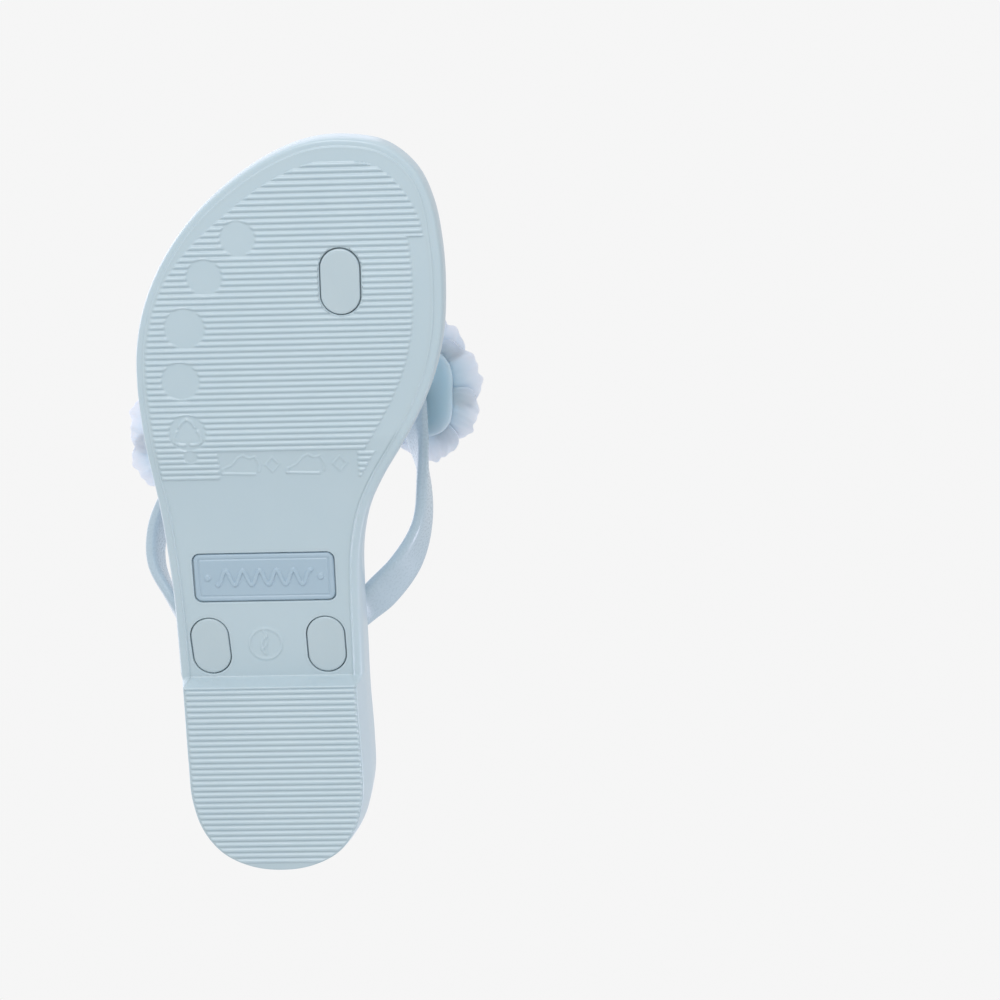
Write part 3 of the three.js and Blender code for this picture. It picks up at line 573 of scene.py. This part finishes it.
def strap_plug(side):
    x, y, turn, length = PLUGS[side]
    sunk = BAR_HEIGHT if side == "toe" else 0.0
    levels = [(0, PLUG_THICKNESS - 0.5), (0, 0.34), (-0.07, 0.16), (-0.2, 0.05), (-0.42, 0.0), (-0.9, 0.01),
              (-1.7, 0.02), (-2.8, 0.02), (-4.0, 0.02)]
    rings = [on_floor(placed(oblong(PLUG_WIDTH, length, g), x, y, turn), z - sunk) for g, z in levels]
    piece("strap_plug_" + side, *ring_body(rings, False), PLUG, nodes=["strap"], slot="strap", angle=70)
    collar("plug_seat_" + side, lambda g: oblong(PLUG_WIDTH, length, g), x, y, turn)


def badge():
    cell = 0.13
    u = np.arange(-BADGE_LENGTH / 2, BADGE_LENGTH / 2 + cell, cell)
    v = np.arange(-BADGE_WIDTH / 2, BADGE_WIDTH / 2 + cell, cell)
    uu, vv = np.meshgrid(u, v, indexing="ij")
    d = box_distance(uu, vv, BADGE_LENGTH, BADGE_WIDTH, BADGE_CORNER)
    # Depth of the face: a rounded edge, a frame line, a wave and two dots.
    face = 0.3 * smooth(-0.42, 0.0, d) + 0.05
    face = face + 0.18 * smooth(0.34, 0.1, np.abs(d + 1.35))
    wave_height, wave_length = 1.9, 4.3
    wave = [(t, wave_height * math.sin(2 * math.pi * t / wave_length)) for t in np.arange(-12, 12.01, 0.2)]
    near = (np.abs(uu) < 13.2) & (np.abs(vv) < 3.2)
    w = line_distance(uu[near], vv[near], wave)
    face[near] -= 0.42 * smooth(0.62, 0.3, w)
    for t in (-14.4, 14.4):
        face = face - 0.36 * smooth(0.95, 0.6, np.hypot(uu - t, vv))
    z = base_height(BADGE_Y + vv) + np.where(d > 0.001, BADGE_THICKNESS - 0.1, face)
    rows, cols = uu.shape
    verts = np.stack([BADGE_X + uu, BADGE_Y + vv, z], -1).reshape(-1, 3)
    faces = quads(rows, cols, flip=True).tolist()
    back = rows * cols
    corners = [0, cols - 1, rows * cols - 1, (rows - 1) * cols]
    lid = verts[corners] * [1, 1, 0]
    lid[:, 2] = base_height(lid[:, 1]) + BADGE_THICKNESS
    faces.append([back + 3, back + 2, back + 1, back])
    faces.append([*range(0, cols), back + 1, back])
    faces.append([*range((rows - 1) * cols + cols - 1, (rows - 1) * cols - 1, -1), back + 3, back + 2])
    faces.append([*range(cols - 1, rows * cols, cols), back + 2, back + 1])
    faces.append([*range((rows - 1) * cols, -1, -cols), back, back + 3])
    piece("badge_face", np.vstack([verts, lid]), faces, BADGE, nodes=["badge_plate"], slot="badge", angle=75)
    collar("badge_seat", lambda g: rounded_box(BADGE_LENGTH, BADGE_WIDTH, BADGE_CORNER, g),
           BADGE_X, BADGE_Y, 0)


# ---- strap -----------------------------------------------------------------------------------
A, H = HEEL_CENTRE_X, HEEL_HEIGHT
FULL = (BAND_WIDTH, BAND_THICKNESS)
NECK = (0.8 * BAND_WIDTH, BAND_THICKNESS)
MX, LX, PY = PLUGS["medial"][0], PLUGS["lateral"][0], PLUG_Y
PLUG_ARCH_REACH = 52.9
PLUG_Z = ARCH_RISE * (1 - math.exp(-PLUG_ARCH_REACH / ARCH_LENGTH)) - 0.1
# Stations of the strap: x, y, z, outward normal, width, thickness.
MEDIAL_ARM = [
    (MX, PY, PLUG_Z + 1.4, -1, 0, 0, *NECK), (MX - 2.4, PY + 0.2, H - 9, -1, 0, -0.2, *NECK),
    (MX - 5.2, PY + 0.9, H - 2.4, -0.9, -0.2, -0.4, *NECK),
    (A - 22.3, PY + 3.2, H + 1.6, -0.6, -0.3, -0.75, 10.5, BAND_THICKNESS),
    (A - 27.3, PY + 7.3, H + 3.6, -0.45, -0.35, -0.8, *FULL),
    (A - 34, -19, H + 5.3, -0.6, -0.4, -0.65, *FULL),
    (A - 38.2, -9.5, H + 7.8, -0.9, -0.25, -0.3, *FULL), (A - 38.8, 1, H + 11.5, -1, 0, -0.03, *FULL),
    (A - 37, 13, H + 16.6, -0.85, 0, 0.5, *FULL), (A - 33.8, 25.3, H + 20.8, -0.42, 0.05, 0.9, *FULL),
    (A - 30, 34, H + 21.3, -0.25, 0.2, 0.95, *FULL), (A - 26, 42, H + 19, -0.1, 0.45, 0.9, *FULL),
    (A - 23.8, 50, H + 14, 0, 0.7, 0.7, 9, BAND_THICKNESS + 0.4),
    (-15.3, 55.5, H + 9, 0, 0.9, 0.4, 6.5, BAND_THICKNESS + 1),
]
LATERAL_ARM = [
    (LX, PY, PLUG_Z + 1.4, 1, 0, 0, *NECK), (LX + 2.4, PY + 0.1, H - 9, 1, 0, -0.1, *NECK),
    (LX + 5, PY + 0.6, H - 2.4, 0.95, -0.2, -0.2, *NECK),
    (A + 24.9, PY + 2, H + 1.6, 0.8, -0.45, -0.4, 10.5, BAND_THICKNESS),
    (A + 28.4, PY + 7.4, H + 3.8, 0.75, -0.5, -0.3, *FULL),
    (A + 31.9, -18.4, H + 6.4, 0.92, -0.3, -0.05, *FULL),
    (A + 31.2, -9.5, H + 8.8, 1, 0, 0.15, *FULL), (A + 26, 0.5, H + 12.5, 0.93, 0.2, 0.35, *FULL),
    (A + 18, 11.4, H + 18, 0.5, 0.25, 0.84, *FULL), (A + 10, 22, H + 20.8, 0.3, 0.3, 0.92, *FULL),
    (A + 1, 32.5, H + 21.3, 0.1, 0.4, 0.92, *FULL), (A - 9.5, 43, H + 19, 0, 0.5, 0.88, *FULL),
    (A - 18.5, 51, H + 14, 0, 0.7, 0.7, 9, BAND_THICKNESS + 0.4),
    (-15.6, 55.5, H + 9, 0, 0.9, 0.4, 6.5, BAND_THICKNESS + 1),
]
TX, TY = PLUGS["toe"][:2]
POST = [
    (TX, TY, 1.25, 0, 1, 0, 2.2 * POST_RADIUS, 2 * POST_RADIUS),
    (TX, TY, FOREFOOT_HEIGHT + 2, 0, 1, 0, 2 * POST_RADIUS, 2 * POST_RADIUS),
    (TX, TY - 0.6, FOREFOOT_HEIGHT + 10, 0, 1, 0, 2 * POST_RADIUS, 2 * POST_RADIUS),
    (TX, TY - 3, H + 6, 0, 1, 0.3, 2.3 * POST_RADIUS, 1.9 * POST_RADIUS),
    (TX - 0.1, TY - 7.5, H + 12.5, 0, 0.9, 0.5, 2.6 * POST_RADIUS, 1.4 * POST_RADIUS),
]


def sweep(stations, steps):
    """A flat rounded band along the stations."""
    s = np.array(stations, float)
    t = np.linspace(0.0, len(s) - 1, steps + 1)
    at, face, size = spline(s[:, :3], t), spline(s[:, 3:6], t), spline(s[:, 6:8], t)
    way = np.gradient(at, axis=0)
    way /= np.linalg.norm(way, axis=1)[:, None]
    face -= way * (face * way).sum(1)[:, None]
    face /= np.linalg.norm(face, axis=1)[:, None]
    side = np.cross(face, way)
    a = np.linspace(0, 2 * math.pi, BAND_POINTS, endpoint=False)
    across = np.sign(np.cos(a)) * np.abs(np.cos(a)) ** BAND_SIDE_POWER
    out = np.sign(np.sin(a)) * np.abs(np.sin(a)) ** BAND_FACE_POWER
    rings = [at[i] + side[i] * across[:, None] * size[i, 0] / 2 + face[i] * out[:, None] * size[i, 1] / 2
             for i in range(len(t))]
    return ring_body(rings, False)


SEATS = {
    # side: centre on the strap, outward direction, turn of the flower in radians
    "medial": ((A - 34.28, 23.455, H + 20.17), (-0.38, 0.02, 0.92), 0.16),
    "lateral": ((A + 18, 11.4, H + 18), (0.4, 0.12, 0.91), 0.45),
}


def seat_frame(side):
    """Returns a function that places points of a flower on its seat."""
    at, look, spin = SEATS[side]
    z = np.array(look) / np.linalg.norm(look)
    x = np.array([1.0, 0, 0]) - z * z[0]
    x /= np.linalg.norm(x)
    y = np.cross(z, x)
    c, s = math.cos(spin), math.sin(spin)
    axes = np.array([x * c + y * s, y * c - x * s, z])
    return lambda p: np.array(at) + z * (BAND_THICKNESS / 2 + SEAT_RISE) + np.asarray(p, float) @ axes


def lathe(profile, n=48):
    """Turned body about Z from (radius, height) pairs, both ends on the axis."""
    a = np.linspace(0, 2 * math.pi, n, endpoint=False)
    rings = []
    for r, z in profile:
        r = max(r, AXIS_RADIUS)
        rings.append(np.column_stack([r * np.cos(a), r * np.sin(a), np.full(n, z)]))
    return ring_body(rings, False)


def fuse(obj, bodies, angle):
    """Joins further closed bodies, given as (points, faces), to obj."""
    helpers = []
    for verts, faces in bodies:
        mesh = bpy.data.meshes.new("joined_body")
        mesh.from_pydata(((np.asarray(verts) + SHIFT) * MM).tolist(), [], faces)
        helper = bpy.data.objects.new("joined_body", mesh)
        bpy.context.scene.collection.objects.link(helper)
        helpers.append(helper)
        m = obj.modifiers.new("join", "BOOLEAN")
        m.operation = "UNION"
        m.solver = "EXACT"
        m.object = helper
    graph = bpy.context.evaluated_depsgraph_get()
    mesh = bpy.data.meshes.new_from_object(obj.evaluated_get(graph))
    obj.modifiers.clear()
    obj.data = mesh
    mesh.polygons.foreach_set("use_smooth", np.ones(len(mesh.polygons), bool))
    mesh.set_sharp_from_angle(angle=math.radians(angle))
    for helper in helpers:
        bpy.data.meshes.remove(helper.data)


def strap():
    others = [sweep(LATERAL_ARM, BAND_STEPS), sweep(POST, POST_STEPS)]
    for side in SEATS:
        v, f = lathe([(0, -4.4), (5.0, -4.4), (SEAT_RADIUS, -3.8), (SEAT_RADIUS, -0.45), (5.2, -0.08),
                      (0, -0.08)])
        others.append((seat_frame(side)(v), f))
    obj = piece("strap_band", *sweep(MEDIAL_ARM, BAND_STEPS), STRAP, nodes=["strap"], slot="strap")
    fuse(obj, others, angle=40)


# ---- flowers ---------------------------------------------------------------------------------
OUTER_REACH = (1, 1, 0.99, 0.94, 0.96, 1.07, 1)
PETAL_ROWS, PETAL_COLUMNS = 34, 56
PETAL_ROOT_THICKNESS, VEIN_HEIGHT = 0.9, 0.035
LONG_PETAL_LEAN = -0.12
CUP_RADIUS, CUP_LENGTHENING, CUP_DROP = 12.6, 1.12, 1.2
BUD_HEIGHT, KNOBS, KNOB_RING = 6.6, 11, 2.7


def petal(reach, width, base, cup, tilt, ruffle, seed, turn):
    """One petal: a cupped sheet with a wavy border and fine veins, thick at the root."""
    m, n = PETAL_ROWS, PETAL_COLUMNS
    s, t = np.meshgrid(np.linspace(0, 1, m), np.linspace(-1, 1, n), indexing="ij")
    root = STEM_RADIUS + 0.5
    widest = 0.72
    narrowing = np.sqrt(1 - 0.3 * np.clip((s - widest) / 0.28, 0, 1) ** 2)
    half = width * (0.2 + 0.8 * smooth(0, widest, s)) * narrowing
    tip = 1 - 0.2 * s ** 3 * t * t + 0.018 * s ** 2 * np.sin(7 * t + seed)
    tip = tip + 0.012 * s ** 2 * np.sin(15 * t + 2 * seed)
    x = root + (reach - root) * s * tip
    y = t * half
    q = np.clip(np.hypot(x, y) / reach, 0, 1.1)
    z = base + cup * q * q + tilt * y * s - 0.05 * cup * (t * t) * s * 2
    waves = np.sin(6.5 * t + seed) + 0.5 * np.sin(12.5 * t + 2.1 * seed)
    z = z + ruffle * s ** 3 * waves * (0.35 + 0.65 * np.abs(t))
    z = z + VEIN_HEIGHT * (np.cos(31 * t + 4 * s) + np.cos(19 * t - 3 * s)) * smooth(0.1, 0.45, s)
    border = np.minimum(np.minimum((1 - s) * 3, (1 - np.abs(t)) * 3), 1)
    body = PETAL_ROOT_THICKNESS * (0.35 + 0.65 * np.sqrt(np.clip(border, 0, 1))) * (1 - 0.25 * s)
    lower, upper = np.stack([x, y, z - body / 2], -1), np.stack([x, y, z + body / 2], -1)
    c, k = math.cos(turn), math.sin(turn)
    verts = np.vstack([lower.reshape(-1, 3), upper.reshape(-1, 3)])
    x, y, z = verts.T
    verts = np.column_stack([x * c - y * k, x * k + y * c, z])
    size = m * n
    faces = quads(m, n).tolist() + (quads(m, n, flip=True) + size).tolist()
    loop_ids = [*range(0, n), *range(2 * n - 1, size, n), *range(size - 2, size - n - 1, -1),
                *range(size - 2 * n, 0, -n)]
    for a, b in zip(loop_ids, loop_ids[1:] + loop_ids[:1]):
        faces.append([a, a + size, b + size, b])
    return verts, faces


def merged(name, parts, place, mat, body, nodes, slot):
    """One piece from several closed bodies that overlap."""
    verts, faces = [], []
    for v, f in parts:
        shift = sum(len(q) for q in verts)
        verts.append(place(v))
        faces += [[i + shift for i in face] for face in f]
    return piece(name, np.vstack(verts), faces, mat, body, nodes, slot, angle=60)


RINGS = {
    # name: petals, reach, half width, base, cup, tilt, ruffle, first turn
    "outer": (7, 20.2, 9.6, 1.75, 3.2, 0.1, 0.5, 0.0),
    "middle": (6, 15.2, 8.0, 3.3, 5.6, 0.11, 0.45, 0.5),
    "inner": (5, 10.0, 6.0, 5.0, 6.2, 0.14, 0.3, 0.0),
}


def flower(side):
    place, body = seat_frame(side), side + "_flower"
    centre = (place((0, 0, 1.0)) + SHIFT) * MM
    # Painted shade: the petal colour turns a deeper blue towards the flower's centre, in place of the shade
    # in the cup and at the petal roots.
    look = plastic(side + "_petal_plastic", (0.80, 0.80, 0.895), (0.76, 0.775, 0.88), 0.3, 900, 0.006,
                   0.3, 0.5, painted_shade=(centre, 10.5, 20.0, (0.49, 0.69, 0.82)))
    for ring, (count, reach, width, base, cup, tilt, ruffle, first) in RINGS.items():
        parts = []
        for i in range(count):
            seed = 1.7 * i + (0.6 if side == "medial" else 2.3) + len(ring)
            share = OUTER_REACH[i] if ring == "outer" else 1 + 0.025 * math.sin(3 * seed)
            lean = LONG_PETAL_LEAN if share > 1 else 0.0
            parts.append(petal(reach * share, width, base, cup, tilt, ruffle, seed,
                               first + lean + 2 * math.pi * i / count))
        hub = lathe([(0, base - 1.2), (3.4, base - 1.2), (4.0, base - 0.7), (4.0, base + 0.3),
                     (3.2, base + 0.7), (0, base + 0.7)])
        merged(f"{side}_petals_{ring}_shape", parts + [hub], place, look, body,
               [f"{side}_petals_{ring}"], "petals")
    # Smooth shallow oval cup that backs the outer petals.
    r = CUP_RADIUS
    cup = lathe([(0, 0.1), (3, 0.1), (8, 0.16), (r - 1.2, 0.6), (r - 0.4, 0.95), (r, 1.35),
                 (r - 0.05, 1.75), (r - 0.5, 2.0), (r - 1.4, 1.8), (8, 1.1), (3, 1.0), (0, 1.0)], 96)
    v = cup[0]
    a = np.arctan2(v[:, 1], v[:, 0])
    swell = 1 + 0.05 * np.cos(5 * a + 0.6) * (np.hypot(v[:, 0], v[:, 1]) / r) ** 2
    v = v * np.column_stack([swell, CUP_LENGTHENING * swell, np.ones(len(v))])
    v[:, 1] -= CUP_DROP * np.clip(np.hypot(v[:, 0], v[:, 1]) / r, 0, 1)
    merged(f"{side}_flower_cup", [(v, cup[1])], place, look, body, [], "petals")
    # Bud on the pin, with a ring of small stamens.
    h = BUD_HEIGHT
    bud = lathe([(0, h - 3), (1.6, h - 3), (1.7, h), (2.5, h + 0.4), (3.3, h + 1.2), (3.5, h + 2.0),
                 (3.1, h + 2.9), (2.2, h + 3.5), (1.1, h + 3.8), (0, h + 3.85)], 40)
    parts = [bud]
    for i in range(KNOBS):
        a = 2 * math.pi * i / KNOBS
        knob = lathe([(0, -0.55), (0.35, -0.45), (0.6, 0), (0.45, 0.4), (0, 0.6)], 12)
        parts.append((knob[0] + [KNOB_RING * math.cos(a), KNOB_RING * math.sin(a), h + 3.3], knob[1]))
    merged(f"{side}_bud", parts, place, PIN, body, [f"{side}_pin"], "pins")


# ---- footbed ---------------------------------------------------------------------------------
def footbed():
    line = loop(np.full(len(RIM), PAD_INSET + GAP))
    at = span(line)
    low, high = line[:, 1].min(), line[:, 1].max()
    ends = [0.01 * 1.9 ** k for k in range(7)]
    rows = [high - e for e in ends] + list(np.arange(high - 1.1, low + 1.0, -0.55))
    rows += [low + e for e in ends[::-1]]
    rows, spans = crossed(at, rows)
    cols = PAD_COLUMNS
    x = spans[:, :1] + (spans[:, 1:] - spans[:, :1]) * np.linspace(0, 1, cols)
    y = np.repeat(rows[:, None], cols, axis=1)
    rim = np.minimum(np.minimum(x - spans[:, :1], spans[:, 1:] - x), np.minimum(high - y, y - low) * 1.4)
    z = top_height(y) + 0.3 - 0.35 * (1 - smooth(0, 0.9, rim)) ** 2
    z = z - 0.22 * smooth(2.2, 3.0, rim) * smooth(4.0, 3.2, rim)
    # Hollows under the heel and the ball of the foot, and a grid of small dots.
    heel_cup = np.exp(-(((x - A) / 15) ** 2 + ((y + 68) / 20) ** 2))
    ball = np.exp(-(((x + 2) / 24) ** 2 + ((y - 48) / 24) ** 2))
    z = z - 0.5 * heel_cup - 0.3 * ball
    dot_pitch = 2.6
    dots = np.cos(2 * math.pi * x / dot_pitch) * np.cos(2 * math.pi * y / dot_pitch)
    z = z + 0.09 * smooth(0.35, 0.8, dots) * smooth(4.2, 5.0, rim)
    verts = np.stack([x, y, z], -1).reshape(-1, 3)
    n = len(rows)
    faces = quads(n, cols, flip=True).tolist()
    back = np.concatenate([np.stack([x[:, j], rows, top_height(rows) - 1.2], 1) for j in (0, -1)])
    k = n * cols
    for i in range(n - 1):
        a, b = k + i, k + n + i
        faces.append([a, b, b + 1, a + 1])
        faces.append([i * cols, a, a + 1, (i + 1) * cols])
        faces.append([i * cols + cols - 1, (i + 1) * cols + cols - 1, b + 1, b])
    faces.append([*range(0, cols), k + n, k])
    faces.append([*range(n * cols - 1, (n - 1) * cols - 1, -1), k + n - 1, k + 2 * n - 1])
    piece("footbed_top", np.vstack([verts, back]), faces, PAD, nodes=["footbed"], slot="footbed", angle=70)


underside()
sole_shell()
for side in PLUGS:
    strap_plug(side)
badge()
strap()
for side in SEATS:
    flower(side)
footbed()

# ---- camera -------------------------------------------------------------------------------
CAMERA_AT = (-79.3, 171.1, -558.7)
CAMERA_BACK = (-0.0467, 0.2851, -0.9574)
CAMERA_UP = (-0.0198, 0.958, 0.2862)
camera = bpy.data.objects.new("camera", bpy.data.cameras.new("camera"))
bpy.context.scene.collection.objects.link(camera)
camera.data.sensor_width = 36
camera.data.lens = 85
back = Vector(CAMERA_BACK).normalized()
up = Vector(CAMERA_UP)
right = up.cross(back).normalized()
up = back.cross(right)
rotation = Matrix((right, up, back)).transposed().to_4x4()
camera.matrix_world = Matrix.Translation((Vector(CAMERA_AT) + Vector(SHIFT)) * MM) @ rotation
bpy.context.scene.camera = camera

# ---- stage --------------------------------------------------------------------------------
PALE = (0.92, 0.92, 0.92, 1)
SKY, SKY_STRENGTH = (0.93, 0.97, 1.0, 1), 0.75
FLOOR_REACH, FLOOR_LEVEL = 4, -0.0003
# The camera sees PALE, and the light comes from SKY.
world = bpy.data.worlds.new("studio")
bpy.context.scene.world = world
world.use_nodes = True
tree = world.node_tree
seen = tree.nodes["Background"]
seen.inputs["Color"].default_value = PALE
lit = tree.nodes.new("ShaderNodeBackground")
lit.inputs["Color"].default_value = SKY
lit.inputs["Strength"].default_value = SKY_STRENGTH
path = tree.nodes.new("ShaderNodeLightPath")
choose = tree.nodes.new("ShaderNodeMixShader")
tree.links.new(path.outputs["Is Camera Ray"], choose.inputs["Fac"])
tree.links.new(lit.outputs["Background"], choose.inputs[1])
tree.links.new(seen.outputs["Background"], choose.inputs[2])
tree.links.new(choose.outputs["Shader"], tree.nodes["World Output"].inputs["Surface"])
bpy.context.scene.view_settings.view_transform = "Standard"


def floor():
    """A pale floor that is seen from above only, and lets the low camera and the low lights through."""
    m = bpy.data.materials.new("floor_paint")
    m.use_nodes = True
    nodes, links = m.node_tree.nodes, m.node_tree.links
    paint = nodes["Principled BSDF"]
    paint.inputs["Base Color"].default_value = (0.9, 0.9, 0.9, 1)
    paint.inputs["Roughness"].default_value = 0.9
    clear = nodes.new("ShaderNodeBsdfTransparent")
    rays = nodes.new("ShaderNodeLightPath")
    side = nodes.new("ShaderNodeNewGeometry")
    from_above = nodes.new("ShaderNodeMath")
    from_above.operation = "SUBTRACT"
    from_above.use_clamp = True
    links.new(rays.outputs["Is Camera Ray"], from_above.inputs[0])
    links.new(side.outputs["Backfacing"], from_above.inputs[1])
    pick = nodes.new("ShaderNodeMixShader")
    links.new(from_above.outputs[0], pick.inputs["Fac"])
    links.new(clear.outputs[0], pick.inputs[1])
    links.new(paint.outputs[0], pick.inputs[2])
    links.new(pick.outputs[0], nodes["Material Output"].inputs["Surface"])
    mesh = bpy.data.meshes.new("floor")
    corners = [(-1, -1), (1, -1), (1, 1), (-1, 1)]
    corners = [(x * FLOOR_REACH, y * FLOOR_REACH, FLOOR_LEVEL) for x, y in corners]
    mesh.from_pydata(corners, [], [(0, 1, 2, 3)])
    mesh.materials.append(m)
    o = bpy.data.objects.new("floor", mesh)
    bpy.context.scene.collection.objects.link(o)
    return o


def area(name, at, aim, size, power, color):
    """A round area light at a place, turned towards aim."""
    data = bpy.data.lights.new(name, "AREA")
    data.shape = "DISK"
    data.size = size
    data.energy = power
    data.color = color
    o = bpy.data.objects.new(name, data)
    bpy.context.scene.collection.objects.link(o)
    o.location = at
    o.rotation_mode = "QUATERNION"
    o.rotation_quaternion = (Vector(aim) - Vector(at)).to_track_quat("-Z", "Y")
    return o


stage = [floor()]
stage.append(area("low_key", (0.05, 0.62, -0.58), (0, 0.02, 0), 0.5, 2.85, (0.98, 0.97, 1)))
heel_side = area("heel_side", (-0.32, -0.22, 0.0), (-0.012, -0.06, 0.01), 0.12, 0.016, (0.9, 0.84, 1))
heel_side.data.spread = math.radians(36)
stage.append(heel_side)
stage.append(area("high_soft", (0.55, 0.5, 0.8), (0, 0, 0), 1.6, 4.5, (0.86, 0.86, 1)))
stage.append(area("high_fill", (0.6, -0.5, 0.7), (0, 0, 0), 1.6, 3.5, (0.86, 0.86, 1)))
